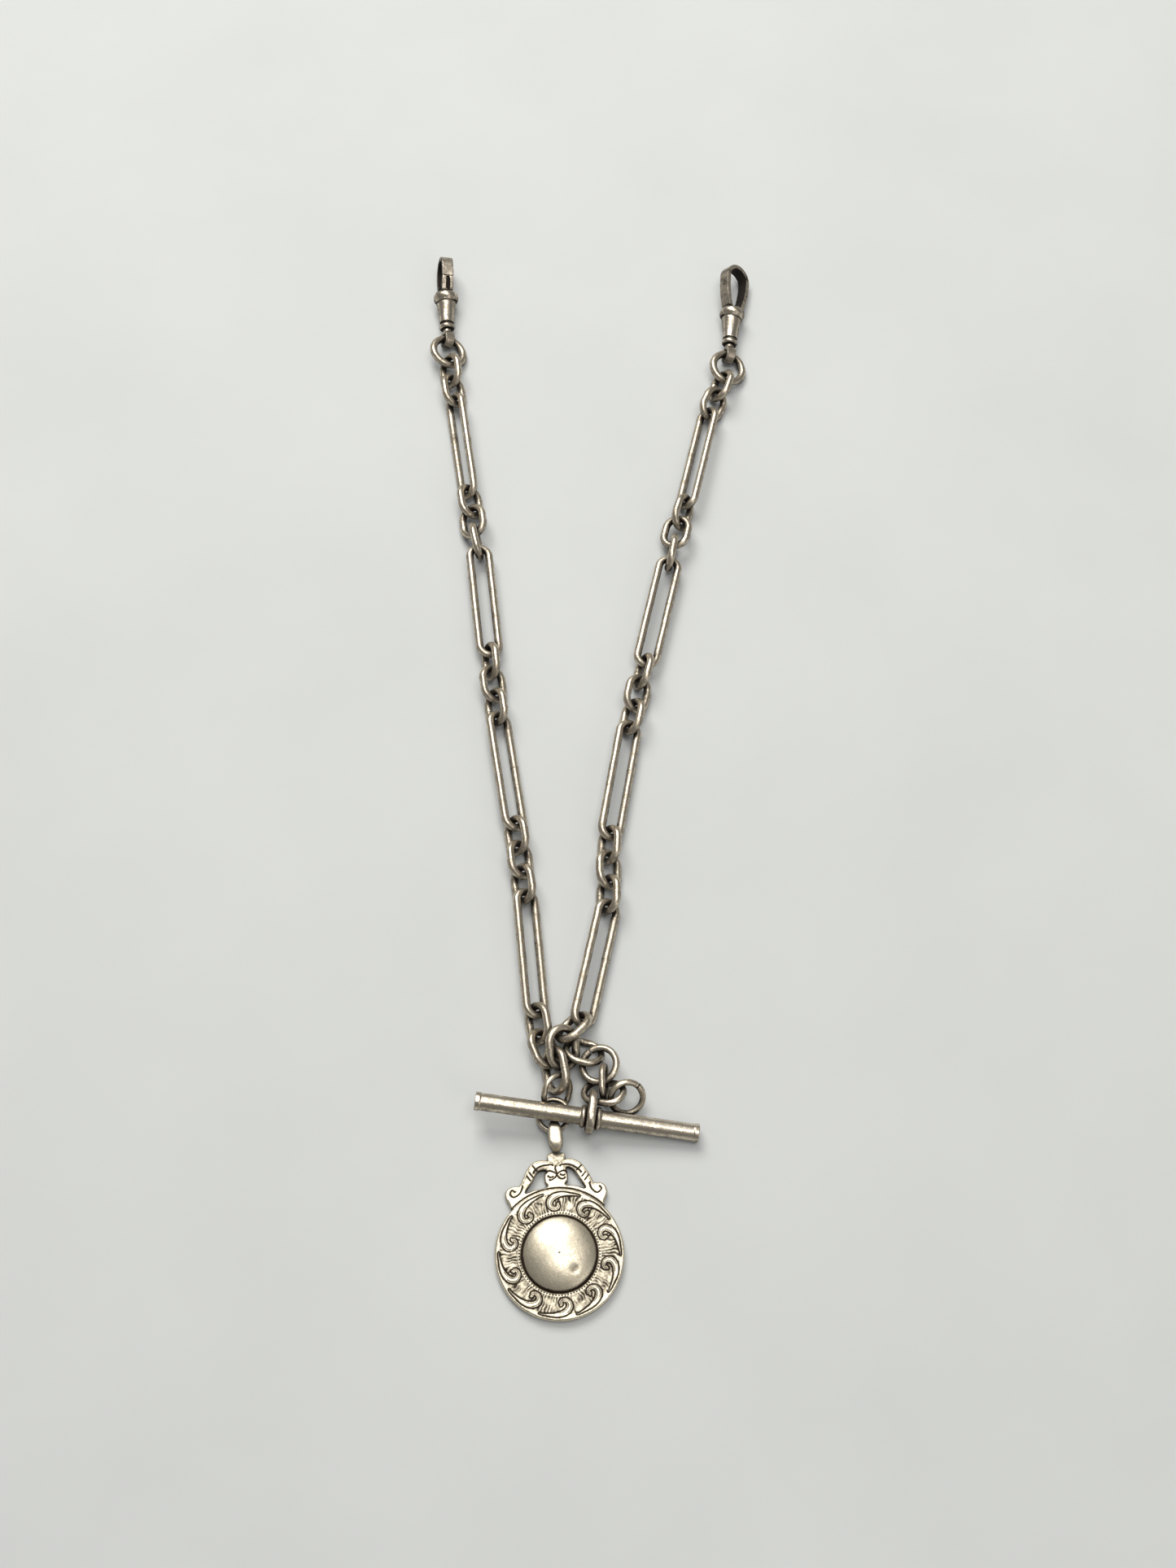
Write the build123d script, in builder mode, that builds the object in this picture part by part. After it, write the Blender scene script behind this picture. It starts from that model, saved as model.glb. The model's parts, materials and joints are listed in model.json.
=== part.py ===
from build123d import *
from math import asin, cos, degrees, radians, sin, sqrt
from os import makedirs

# A double albert pocket watch chain, laid out flat with both arms drawn away from the middle.
# The surface it lies on is z = 0, +Y runs from the fob medal to the two watch clips, +X is to the
# right. All sizes are in millimetres and all angles in degrees.

# ---- Driving sizes ------------------------------------------------------------------------------

# Middle of the whole chain's box in the layout's own coordinates, so that it lies over the origin.
MIDDLE_X = 0.73
MIDDLE_Y = 157.685

# Loops: outside length, outside width, wire thickness.
LONG = (26.7, 5.7, 1.65)
SMALL = (8.5, 6.5, 1.6)
END_RING = (8.6, 8.6, 1.65)
CENTRAL_RING = (9.0, 7.0, 1.6)
CENTRE_LINK = (9.6, 7.0, 1.6)
DROP_LINK = (8.2, 6.8, 1.4)
SPLIT_RING = (8.0, 8.0, 1.4)
HANGER_LINK = (7.6, 6.0, 1.25)
CROSS_LINK = (9.0, 6.4, 1.35)
SPARE_RING = (7.6, 7.0, 1.25)
FOB_LINK = (7.6, 6.8, 1.15)
FOB_RING = (7.0, 6.8, 1.1)
BAR_RING = (8.5, 6.3, 1.3)
BAR_RING_BREADTH = 1.6
BAIL = (6.0, 3.7, 0.95)
BAIL_BREADTH = 2.7
EDGE_ROUNDING = 0.45  # a flat band's edge radius, as a share of its thickness
PLAY = 0.13  # free play between two links that pull on each other
SLIT_WIDTH = 0.12

# T-bar: a turned rod with two ridges that keep its ring in a groove.
BAR_RADIUS = 1.65
BAR_LEFT = 21.8
BAR_RIGHT = 20.5
BAR_HEADING = -7.1
BAR_PITCH = -5.7
GROOVE = 1.9
RIDGE = 0.95
RIDGE_RADIUS = 2.2
END_RIM = 0.9
END_RIM_RADIUS = 1.75

# Clip: everything along its axis is measured from the middle of the swivel eye's hole.
EYE_RADIUS = 1.9
EYE_HOLE = 1.05
EYE_THICKNESS = 2.0
NECK_RADIUS = 0.95
STEM_RADIUS = 0.62
STEM_HEAD_RADIUS = 1.05
STEM_HEAD = (4.75, 5.55)
SHOULDER_GAP = 0.12  # between the eye's neck and the barrel
BARREL_START = 2.5
BORE_RADIUS = 0.72
CHAMBER = (4.6, 7.0)
CHAMBER_RADIUS = 1.2
BEAD_START = (BARREL_START, 1.4)  # points of the barrel's outline: distance along the axis, radius
BEAD_TOP = (3.1, 1.75)
BEAD_END = (3.7, 1.4)
WAIST_RADIUS = 1.25
CUP_START = (4.05, 1.6)
CUP_MIDDLE = (7.0, 1.85)
COLLAR = (9.5, 11.6)
CUP_END = (COLLAR[0], 2.35)
COLLAR_RADIUS = 2.8
COLLAR_WIDEST = 10.4
COLLAR_TOP_RADIUS = 2.1
COLLAR_SLOT = (9.95, 0.05)  # the corner of the slot that the gate's knuckle turns in
COLLAR_SLOT_LENGTH = 2.0
COLLAR_SLOT_DEPTH = 2.35
PIN_X = 10.9
PIN_RADIUS = 0.3
PIN_LENGTH = 4.8
BAND_THICKNESS = 1.0
BAND_BREADTH = 2.5
BAND_BASE = 1.2  # half the distance between the two limbs' middles at the hinge pin
BAND_BOW = 2.9  # radius of the top bow, at the middle of the band
GATE_REACH = 4.2
GATE_GAP = 0.08
MIDLINE_GAP = 0.02  # how far the gate stays on its own side of the hook's middle
RUNNING_GAP = 0.06
THUMB_SLOT_START = 0.3  # above the collar
THUMB_SLOT_LENGTH = 2.6
THUMB_SLOT_WIDTH = 0.7
THUMB_SLOT_FLOOR = 0.05  # outside the band's middle line
SPRING_THICKNESS = 0.2
SPRING_BREADTH = 1.4
SPRING_REACH = 2.4
SPRING_TAIL = 0.45

# Medal: a disc with a raised boss under a pierced crest.
DISC_RADIUS = 11.9
DISC_THICKNESS = 1.8
DISC_BEVEL = 0.35
CREST_THICKNESS = 1.45
CREST_RAISE = 0.1  # the crest's back stands this far off the disc's back
CREST_ROOT = 6.0  # how far up the disc the crest is soldered on
BOSS_RADIUS = 6.75
BOSS_HEIGHT = 2.0
BOSS_SHOULDER = 0.35
BOSS_FLANK = (3.5, 1.57)  # a point on the dome between its shoulder and its top
BOSS_TOP_RADIUS = 0.4  # the small flat on the dome's top
MEDAL_TURN = 1.7

# ---- Layout -------------------------------------------------------------------------------------

# The pile of loops in the middle: name, size, centre, heading, lean, pitch. A loop's heading and
# pitch are those of its long way, and a positive lean lifts its right-hand side.
PILE = [
    ("central_ring", CENTRAL_RING, (-4.80, 91.25, 4.18), 95, -24, 19),
    ("centre_link", CENTRE_LINK, (-6.15, 87.15, 3.10), 101, 50, -4),
    ("left_small_link_13", SMALL, (-8.40, 91.50, 2.55), 113, -38, 3),
    ("left_small_link_12", SMALL, (-9.50, 96.40, 2.60), 100, 46, 0),
    ("right_small_link_12", SMALL, (-2.80, 95.40, 3.70), 46, 47, -10),
    ("drop_small_link", DROP_LINK, (-0.80, 90.80, 2.65), -12, 34, -5),
    ("drop_split_ring", SPLIT_RING, (2.15, 88.15, 3.45), -86, -15, 4),
    ("drop_hanger_link", HANGER_LINK, (3.05, 84.85, 3.00), -91, 80, -1),
    ("drop_cross_link", CROSS_LINK, (2.95, 82.85, 3.45), -12, 28, 20),
    ("spare_split_ring", SPARE_RING, (7.30, 81.85, 3.40), -3, -34, -18),
    ("fob_small_link", FOB_LINK, (-5.85, 83.05, 2.75), -99, 38, -27),
    ("fob_ring", FOB_RING, (-6.50, 78.95, 1.75), -91, -2, -1),
]

# Where the T-bar's axis meets the middle of its groove, and how far its ring is tipped.
BAR_POINT = (0.45, 78.0, 3.82)
BAR_RING_TIP = 4

# The two split rings, and how far round each one its slit is.
SLITS = {"drop_split_ring": 150, "spare_split_ring": -60}

# Medal: the middle of its disc on the table, and its bail.
MEDAL_CENTRE = (-5.20, 53.30)
BAIL_PLACE = ((-6.12, 74.90, 1.97), -84, 90, 5)

# The arms from the middle outwards: name, size, heading, lean. Each link hooks the one before it.
LEFT_ARM = [
    ("left_long_link_4", LONG, 95.8, -31),
    ("left_small_link_11", SMALL, 99, 48),
    ("left_small_link_10", SMALL, 97, -44),
    ("left_small_link_09", SMALL, 99, 48),
    ("left_long_link_3", LONG, 99.4, -32),
    ("left_small_link_08", SMALL, 99, 50),
    ("left_small_link_07", SMALL, 97, -40),
    ("left_small_link_06", SMALL, 96, 62),
    ("left_long_link_2", LONG, 96.8, -10),
    ("left_small_link_05", SMALL, 101, -82),
    ("left_small_link_04", SMALL, 98, 30),
    ("left_small_link_03", SMALL, 100, -42),
    ("left_long_link_1", LONG, 98.6, 47),
    ("left_small_link_02", SMALL, 99, -44),
    ("left_small_link_01", SMALL, 98, 47),
    ("left_end_ring", END_RING, 97, -25),
]
RIGHT_ARM = [
    ("right_long_link_4", LONG, 77.5, -31),
    ("right_small_link_11", SMALL, 88, 48),
    ("right_small_link_10", SMALL, 91, -44),
    ("right_small_link_09", SMALL, 86, 50),
    ("right_long_link_3", LONG, 80.0, -27),
    ("right_small_link_08", SMALL, 78, 48),
    ("right_small_link_07", SMALL, 77, -40),
    ("right_small_link_06", SMALL, 76, 62),
    ("right_long_link_2", LONG, 77.0, -10),
    ("right_small_link_05", SMALL, 79, 84),
    ("right_small_link_04", SMALL, 76, 15),
    ("right_small_link_03", SMALL, 72, -60),
    ("right_long_link_1", LONG, 76.8, 40),
    ("right_small_link_02", SMALL, 66, -42),
    ("right_small_link_01", SMALL, 72, 47),
    ("right_end_ring", END_RING, 72, -20),
]
RIGHT_HOOK = -10  # how far round the last right-hand link's bow the right arm hooks it

# Clips: heading, lean of the hook's plane, and the hook's length above its hinge pin.
LEFT_CLIP = (93.2, 75, 9.7)
RIGHT_CLIP = (84.5, -42, 11.9)


def directions(heading, lean, pitch):
    """The long way of a loop and its crossways, lean lifting its right-hand side."""
    h, r, p = radians(heading), radians(lean), radians(pitch)
    along = Vector(cos(h) * cos(p), sin(h) * cos(p), sin(p))
    right = Vector(sin(h), -cos(h), 0)
    across = right * cos(r) + right.cross(along) * sin(r)
    return along, across


def lying(centre, heading, lean, pitch):
    """The plane of a loop: x along it, y across it."""
    along, across = directions(heading, lean, pitch)
    return Plane(origin=centre, x_dir=along, z_dir=along.cross(across))


def placed(centre, heading, lean, pitch):
    """The plane of a loop given by its centre in the layout's coordinates."""
    x, y, z = centre
    return lying((x - MIDDLE_X, y - MIDDLE_Y, z), heading, lean, pitch)


def rest_height(size, lean):
    """How high a leaning loop's long axis is when its lower side touches the table."""
    _, width, wire = size
    return (width - wire) / 2 * abs(sin(radians(lean))) + wire / 2


def walk(name, loops, rows, hook_angle=0):
    """Lay an arm out link by link, each one pulled tight in the bow of the one before it."""
    turn = radians(hook_angle)
    for i, (link, size, heading, lean) in enumerate(rows):
        at, (length, width, wire) = loops[name]
        bow = (width - wire) / 2
        outward = at.x_dir * cos(turn) + at.y_dir * sin(turn)
        tangent = at.y_dir * cos(turn) - at.x_dir * sin(turn)
        hook = at.from_local_coords(Vector((length - width) / 2, 0, 0)) + outward * bow
        own_rest = rest_height(size, lean)
        spacing = (wire + size[2]) / 2 + PLAY
        reach = size[0] - size[2]
        level, _ = directions(heading, lean, 0)
        pull = (level - tangent * level.dot(tangent)).normalized()
        near_z = hook.Z - pull.Z * spacing
        rest = max(own_rest, 2 * own_rest - near_z)
        if i + 1 < len(rows):
            rest = max(rest, rest_height(rows[i + 1][1], rows[i + 1][3]))
        pitch = degrees(asin((rest - near_z) / reach))
        along, _ = directions(heading, lean, pitch)
        centre = hook - pull * spacing + along * (reach / 2)
        loops[link] = (lying(centre, heading, lean, pitch), size)
        name, turn = link, 0


def lay_out():
    """Every plain wire loop's plane and size, by name."""
    loops = {name: (placed(*place), size) for name, size, *place in PILE}
    walk("left_small_link_12", loops, LEFT_ARM)
    walk("right_small_link_12", loops, RIGHT_ARM, RIGHT_HOOK)
    return loops


def lay_clip(ring_plane, heading, lean, hook_length):
    """The plane of a clip's hook and that of its swivel eye, both from the middle of the eye."""
    level, _ = directions(heading, 0, 0)
    outward = (level - ring_plane.z_dir * level.dot(ring_plane.z_dir)).normalized()
    eye = ring_plane.origin + outward * ((END_RING[0] - END_RING[2]) / 2)
    bow_x = PIN_X + hook_length - BAND_BOW - BAND_THICKNESS / 2
    tilt = radians(abs(lean))
    bow_rest = (BAND_BOW + BAND_THICKNESS / 2) * sin(tilt) + BAND_BREADTH / 2 * cos(tilt)
    collar_x = sum(COLLAR) / 2
    pitch = degrees(asin(max((bow_rest - eye.Z) / bow_x, (COLLAR_RADIUS - eye.Z) / collar_x)))
    hook_plane = lying(eye, heading, lean, pitch)
    along = hook_plane.x_dir
    tangent = ring_plane.z_dir.cross(outward)
    hole_axis = tangent - along * tangent.dot(along)
    return hook_plane, Plane(origin=eye, x_dir=along, z_dir=hole_axis)


LOOPS = lay_out()
CLIPS = {
    "left": lay_clip(LOOPS["left_end_ring"][0], *LEFT_CLIP) + (LEFT_CLIP[2],),
    "right": lay_clip(LOOPS["right_end_ring"][0], *RIGHT_CLIP) + (RIGHT_CLIP[2],),
}

BAR_ALONG, _ = directions(BAR_HEADING, 0, BAR_PITCH)
BAR_ORIGIN = Vector(BAR_POINT[0] - MIDDLE_X, BAR_POINT[1] - MIDDLE_Y, BAR_POINT[2])
RING_DOWN, _ = directions(BAR_HEADING - 90, 0, BAR_RING_TIP)
RING_DOWN = (RING_DOWN - BAR_ALONG * RING_DOWN.dot(BAR_ALONG)).normalized()
BAR_RING_PLANE = Plane(
    origin=BAR_ORIGIN - RING_DOWN * ((BAR_RING[0] - BAR_RING[1]) / 2), x_dir=RING_DOWN, z_dir=BAR_ALONG
)
BAR_PLANE = Plane(origin=BAR_ORIGIN, x_dir=BAR_ALONG, z_dir=RING_DOWN.cross(BAR_ALONG))

BAIL_PLANE = placed(*BAIL_PLACE)
MEDAL_PLANE = Plane(
    origin=(MEDAL_CENTRE[0] - MIDDLE_X, MEDAL_CENTRE[1] - MIDDLE_Y, 0),
    x_dir=(cos(radians(MEDAL_TURN)), sin(radians(MEDAL_TURN)), 0),
    z_dir=(0, 0, 1),
)

# ---- Making the parts ---------------------------------------------------------------------------


def save(part, name):
    """Label a finished piece and write it to its own file."""
    part.label = name
    export_step(part, f"parts/{name}.step")


def cross_section(breadth, thickness):
    """A round wire, or a flat band with rounded edges, in the current sketch."""
    if breadth == thickness:
        Circle(thickness / 2)
    else:
        RectangleRounded(breadth, thickness, EDGE_ROUNDING * thickness)


def add_loop(at, size, breadth=None):
    """Bend a wire or band into a closed loop with two round bows and two straight sides."""
    length, width, wire = size
    bow = (width - wire) / 2
    half = (length - width) / 2
    with BuildLine(at) as middle_line:
        ThreePointArc((half, -bow), (half + bow, 0), (half, bow))
        if half > 0:
            Line((half, bow), (-half, bow))
        ThreePointArc((-half, bow), (-half - bow, 0), (-half, -bow))
        if half > 0:
            Line((-half, -bow), (half, -bow))
    start = at.from_local_coords(Vector(half, -bow, 0))
    with BuildSketch(Plane(origin=start, x_dir=at.z_dir, z_dir=at.x_dir)) as section:
        cross_section(breadth or wire, wire)
    sweep(section.sketch, path=middle_line.wire())


def teardrop(hook_length, grow):
    """A filled teardrop: the hook's middle line let out by grow, from the pin to the top bow."""
    top = PIN_X + hook_length - BAND_BOW - BAND_THICKNESS / 2
    rise = top - PIN_X
    drop = BAND_BOW - BAND_BASE
    side = (rise**2 + drop**2) / (2 * drop)
    centre_y = BAND_BOW - side
    base_y = centre_y + sqrt((side + grow) ** 2 - rise**2)
    half_turn = asin(rise / (side + grow)) / 2
    mid_x = top - (side + grow) * sin(half_turn)
    mid_y = centre_y + (side + grow) * cos(half_turn)
    bow = BAND_BOW + grow
    with BuildLine() as outline:
        ThreePointArc((PIN_X, base_y), (mid_x, mid_y), (top, bow))
        ThreePointArc((top, bow), (top + bow, 0), (top, -bow))
        ThreePointArc((top, -bow), (mid_x, -mid_y), (PIN_X, -base_y))
        Line((PIN_X, -base_y), (PIN_X, base_y))
    make_face(outline.edges())


def band(hook_length):
    """The side view of the whole hook and gate, between its outer and inner teardrops."""
    teardrop(hook_length, BAND_THICKNESS / 2)
    with BuildSketch(mode=Mode.PRIVATE) as inside:
        teardrop(hook_length, -BAND_THICKNESS / 2)
    add(inside.sketch, mode=Mode.SUBTRACT)


def gate_area(radius, from_x):
    """The part of the gate's side of the hook that lies within a radius of the hinge pin."""
    with BuildSketch(mode=Mode.PRIVATE) as area:
        with Locations((PIN_X, BAND_BASE)):
            Circle(radius)
        with Locations((from_x, MIDLINE_GAP)):
            Rectangle(4 * radius, 2 * radius, align=(Align.MIN, Align.MIN), mode=Mode.INTERSECT)
    return area.sketch


def make_clip_body(name, at, hook_length):
    """The barrel with its bead and collar, hollow for the swivel, and the fixed hook on top."""
    with BuildPart() as clip_body:
        with BuildSketch(at):
            with BuildLine():
                Polyline((CHAMBER[0], BORE_RADIUS), (BARREL_START, BORE_RADIUS), BEAD_START)
                ThreePointArc(BEAD_START, BEAD_TOP, BEAD_END)
                Polyline(BEAD_END, (BEAD_END[0], WAIST_RADIUS), (CUP_START[0], WAIST_RADIUS), CUP_START)
                ThreePointArc(CUP_START, CUP_MIDDLE, CUP_END)
                ThreePointArc(CUP_END, (COLLAR_WIDEST, COLLAR_RADIUS), (COLLAR[1], COLLAR_TOP_RADIUS))
                Polyline((COLLAR[1], COLLAR_TOP_RADIUS), (COLLAR[1], 0), (CHAMBER[1], 0))
                Polyline((CHAMBER[1], 0), (CHAMBER[1], CHAMBER_RADIUS), (CHAMBER[0], CHAMBER_RADIUS))
                Line((CHAMBER[0], CHAMBER_RADIUS), (CHAMBER[0], BORE_RADIUS))
            make_face()
        revolve(axis=Axis(at.origin, at.x_dir))
        with BuildSketch(at):
            band(hook_length)
            add(gate_area(GATE_REACH + GATE_GAP, 0), mode=Mode.SUBTRACT)
        extrude(amount=BAND_BREADTH / 2, both=True)
        with BuildSketch(at):
            with Locations(COLLAR_SLOT):
                Rectangle(COLLAR_SLOT_LENGTH, COLLAR_SLOT_DEPTH, align=(Align.MIN, Align.MIN))
        extrude(amount=BAND_BREADTH / 2 + RUNNING_GAP, both=True, mode=Mode.SUBTRACT)
        with BuildSketch(at):
            with Locations((PIN_X, BAND_BASE)):
                Circle(PIN_RADIUS)
        extrude(amount=PIN_LENGTH, both=True, mode=Mode.SUBTRACT)
    save(clip_body.part, name)


def make_gate_pin(name, at):
    """The hinge pin, pressed through the collar."""
    with BuildPart() as gate_pin:
        with BuildSketch(at):
            with Locations((PIN_X, BAND_BASE)):
                Circle(PIN_RADIUS)
        extrude(amount=PIN_LENGTH / 2, both=True)
    save(gate_pin.part, name)


def make_gate(name, at, hook_length):
    """The curved gate, turning on the pin, with a thumb slot in its outer face."""
    with BuildPart() as gate:
        with BuildSketch(at):
            band(hook_length)
            add(gate_area(GATE_REACH, PIN_X), mode=Mode.INTERSECT)
            with Locations((PIN_X, BAND_BASE)):
                Circle(BAND_THICKNESS / 2)
                Circle(PIN_RADIUS + RUNNING_GAP, mode=Mode.SUBTRACT)
        extrude(amount=BAND_BREADTH / 2, both=True)
        with BuildSketch(at):
            teardrop(hook_length, BAND_THICKNESS)
            with BuildSketch(mode=Mode.PRIVATE) as under_slot:
                teardrop(hook_length, THUMB_SLOT_FLOOR)
            add(under_slot.sketch, mode=Mode.SUBTRACT)
            with Locations((COLLAR[1] + THUMB_SLOT_START, 0)):
                Rectangle(THUMB_SLOT_LENGTH, hook_length, align=(Align.MIN, Align.MIN), mode=Mode.INTERSECT)
        extrude(amount=THUMB_SLOT_WIDTH / 2, both=True, mode=Mode.SUBTRACT)
    save(gate.part, name)


def make_gate_spring(name, at, hook_length):
    """The leaf spring on the gate's inner face, with its tail in the collar's slot."""
    with BuildPart() as gate_spring:
        with BuildSketch(at):
            teardrop(hook_length, -BAND_THICKNESS / 2)
            with BuildSketch(mode=Mode.PRIVATE) as inside:
                teardrop(hook_length, -BAND_THICKNESS / 2 - SPRING_THICKNESS)
            add(inside.sketch, mode=Mode.SUBTRACT)
            with Locations((PIN_X, 0)):
                Rectangle(SPRING_REACH, BAND_BOW, align=(Align.MIN, Align.MIN), mode=Mode.INTERSECT)
            with Locations((PIN_X, BAND_BASE - BAND_THICKNESS / 2)):
                Rectangle(SPRING_TAIL, SPRING_THICKNESS, align=(Align.MAX, Align.MAX))
        extrude(amount=SPRING_BREADTH / 2, both=True)
    save(gate_spring.part, name)


def make_swivel_eye(name, at):
    """The eye on the end ring, with a headed stem that turns inside the barrel."""
    with BuildPart() as swivel_eye:
        with BuildSketch(at):
            Circle(EYE_RADIUS)
        extrude(amount=EYE_THICKNESS / 2, both=True)
        with BuildSketch(at):
            with BuildLine():
                Polyline(
                    (0, 0),
                    (0, NECK_RADIUS),
                    (BARREL_START - SHOULDER_GAP, NECK_RADIUS),
                    (BARREL_START - SHOULDER_GAP, STEM_RADIUS),
                    (STEM_HEAD[0], STEM_RADIUS),
                    (STEM_HEAD[0], STEM_HEAD_RADIUS),
                    (STEM_HEAD[1], STEM_HEAD_RADIUS),
                    (STEM_HEAD[1], 0),
                    close=True,
                )
            make_face()
        revolve(axis=Axis(at.origin, at.x_dir))
        with BuildSketch(at):
            Circle(EYE_HOLE)
        extrude(amount=2 * EYE_THICKNESS, both=True, mode=Mode.SUBTRACT)
    save(swivel_eye.part, name)


def make_link(name, at, size):
    """One plain link or ring of round wire."""
    with BuildPart() as link:
        add_loop(at, size)
    save(link.part, name)


def make_split_ring(name, at, size, slit_at):
    """A ring of round wire with an open slit, given by its angle round the ring."""
    length, _, wire = size
    with BuildPart() as split_ring:
        add_loop(at, size)
        turn = radians(slit_at)
        outward = at.x_dir * cos(turn) + at.y_dir * sin(turn)
        with BuildSketch(Plane(origin=at.origin, x_dir=outward, z_dir=at.z_dir)):
            Rectangle(length, SLIT_WIDTH, align=(Align.MIN, Align.CENTER))
        extrude(amount=wire, both=True, mode=Mode.SUBTRACT)
    save(split_ring.part, name)


makedirs("parts", exist_ok=True)

for link_name, (link_plane, link_size) in LOOPS.items():
    if link_name in SLITS:
        make_split_ring(link_name, link_plane, link_size, SLITS[link_name])
    else:
        make_link(link_name, link_plane, link_size)

for side_name, (hook_plane, eye_plane, hook_length) in CLIPS.items():
    make_clip_body(f"{side_name}_clip_body", hook_plane, hook_length)
    make_gate_pin(f"{side_name}_clip_gate_pin", hook_plane)
    make_gate(f"{side_name}_clip_gate", hook_plane, hook_length)
    make_gate_spring(f"{side_name}_clip_gate_spring", hook_plane, hook_length)
    make_swivel_eye(f"{side_name}_clip_swivel_eye", eye_plane)

# ---- T-bar and its ring -------------------------------------------------------------------------

with BuildPart() as t_bar_ring:
    add_loop(BAR_RING_PLANE, BAR_RING, BAR_RING_BREADTH)
save(t_bar_ring.part, "t_bar_ring")

with BuildPart() as t_bar:
    with BuildSketch(BAR_PLANE):
        with BuildLine():
            Polyline(
                (-BAR_LEFT, 0),
                (-BAR_LEFT, END_RIM_RADIUS),
                (-BAR_LEFT + END_RIM, END_RIM_RADIUS),
                (-BAR_LEFT + END_RIM, BAR_RADIUS),
                (-GROOVE / 2 - RIDGE, BAR_RADIUS),
            )
            ThreePointArc(
                (-GROOVE / 2 - RIDGE, BAR_RADIUS),
                (-GROOVE / 2 - RIDGE / 2, RIDGE_RADIUS),
                (-GROOVE / 2, BAR_RADIUS),
            )
            Line((-GROOVE / 2, BAR_RADIUS), (GROOVE / 2, BAR_RADIUS))
            ThreePointArc(
                (GROOVE / 2, BAR_RADIUS),
                (GROOVE / 2 + RIDGE / 2, RIDGE_RADIUS),
                (GROOVE / 2 + RIDGE, BAR_RADIUS),
            )
            Polyline(
                (GROOVE / 2 + RIDGE, BAR_RADIUS),
                (BAR_RIGHT - END_RIM, BAR_RADIUS),
                (BAR_RIGHT - END_RIM, END_RIM_RADIUS),
                (BAR_RIGHT, END_RIM_RADIUS),
                (BAR_RIGHT, 0),
                (-BAR_LEFT, 0),
            )
        make_face()
    revolve(axis=Axis(BAR_PLANE.origin, BAR_PLANE.x_dir))
save(t_bar.part, "t_bar")

# ---- Fob medal: bail, plate and boss ------------------------------------------------------------

with BuildPart() as medal_bail:
    add_loop(BAIL_PLANE, BAIL, BAIL_BREADTH)
save(medal_bail.part, "medal_bail")

# Crest outline, from where it leaves the disc on the right, over the two humps and back down.
CREST = [
    (8.9, 7.6),
    (9.4, 10.6),
    (8.0, 12.6),
    (7.0, 12.5),
    (5.1, 15.8),
    (2.3, 17.5),
    (-0.3, 16.25),
    (-2.6, 17.3),
    (-5.0, 16.4),
    (-7.2, 12.4),
    (-9.4, 11.6),
    (-9.2, 8.4),
]
WINDOWS = [
    [(-2.2, 14.9), (-5.7, 12.0), (-5.2, 11.7), (-2.1, 12.0)],
    [(1.6, 15.3), (4.9, 12.2), (4.4, 11.9), (1.6, 12.4)],
]
LUG_WIDTH = 3.4
LUG_MIDDLE = -0.2
LUG = (16.0, 19.1)  # its end is soldered round the bail
LUG_THICKNESS = 1.2
LUG_RAISE = 0.3

with BuildPart() as medal_plate:
    with BuildSketch(MEDAL_PLANE):
        Circle(DISC_RADIUS)
    extrude(amount=DISC_THICKNESS)
    chamfer(medal_plate.edges(), DISC_BEVEL)
    with BuildSketch(MEDAL_PLANE.offset(CREST_RAISE)):
        with BuildLine():
            Polyline((-CREST_ROOT, CREST_ROOT), (CREST_ROOT, CREST_ROOT), CREST[0], CREST[1])
            Spline(*CREST[1:6])
            Polyline(*CREST[5:8])
            Spline(*CREST[7:11])
            Polyline(CREST[10], CREST[11], (-CREST_ROOT, CREST_ROOT))
        make_face()
        for window in WINDOWS:
            with BuildLine():
                Polyline(*window, close=True)
            make_face(mode=Mode.SUBTRACT)
    extrude(amount=CREST_THICKNESS)
    with BuildSketch(MEDAL_PLANE.offset(LUG_RAISE)):
        with Locations((LUG_MIDDLE, LUG[0])):
            Rectangle(LUG_WIDTH, LUG[1] - LUG[0], align=(Align.CENTER, Align.MIN))
    extrude(amount=LUG_THICKNESS)
save(medal_plate.part, "medal_plate")

DISC_FACE = MEDAL_PLANE.offset(DISC_THICKNESS)

with BuildPart() as medal_boss:
    with BuildSketch(Plane(DISC_FACE.origin, x_dir=DISC_FACE.x_dir, z_dir=-DISC_FACE.y_dir)):
        with BuildLine():
            Line((0, 0), (BOSS_RADIUS, 0))
            Line((BOSS_RADIUS, 0), (BOSS_RADIUS, BOSS_SHOULDER))
            ThreePointArc((BOSS_RADIUS, BOSS_SHOULDER), BOSS_FLANK, (BOSS_TOP_RADIUS, BOSS_HEIGHT))
            Polyline((BOSS_TOP_RADIUS, BOSS_HEIGHT), (0, BOSS_HEIGHT), (0, 0))
        make_face()
    revolve(axis=Axis(MEDAL_PLANE.origin, (0, 0, 1)))
save(medal_boss.part, "medal_boss")
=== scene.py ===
import json
from math import cos, pi, radians, sin, sqrt

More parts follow.
